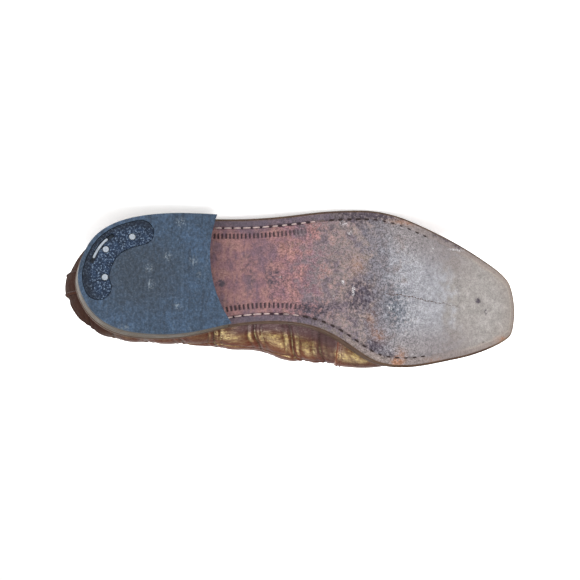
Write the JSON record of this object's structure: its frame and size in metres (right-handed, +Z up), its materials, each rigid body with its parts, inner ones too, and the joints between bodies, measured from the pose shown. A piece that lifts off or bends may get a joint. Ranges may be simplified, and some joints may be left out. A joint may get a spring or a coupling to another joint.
{
  "type": "cap toe oxford shoe",
  "caption": "Right cap toe oxford lying on its outer side: hollow lasted upper in scaled leather, closed lacing, welted leather outsole, stacked heel with rubber top piece and heel plate.",
  "frame": {"origin": "bottom centre of the bounding box, on the ground under the shoe as it lies on its outer side", "axes": "+Z up, the sole faces -Y, the toe points to -X and the inner side of the foot faces up"},
  "size_m": [0.3066, 0.116, 0.1029],
  "materials": {
    "sole_leather": "worn sole leather",
    "edge_leather": "inked edge",
    "heel_leather": "stacked and inked",
    "heel_rubber": "worn matt rubber",
    "plate_rubber": "dark speckled",
    "steel": "worn bright",
    "scaled_leather": "glazed scales",
    "lining_leather": "smooth lining",
    "lace_cord": "waxed cord"
  },
  "bodies": {
    "root": {"outsole": "sole_leather", "welt": "edge_leather", "insole": "lining_leather", "heel_stack": "heel_leather", "heel_top_piece": "heel_rubber", "heel_plate": "plate_rubber", "heel_nail_1": "steel", "heel_nail_2": "steel", "heel_nail_3": "steel", "heel_staple": "steel", "upper": "scaled_leather", "vamp": "scaled_leather", "toe_cap": "scaled_leather", "back_strip": "scaled_leather", "tongue": "lining_leather", "lace_1": "lace_cord", "lace_2": "lace_cord", "lace_3": "lace_cord", "lace_4": "lace_cord", "lace_5": "lace_cord"}
  },
  "joints": []
}
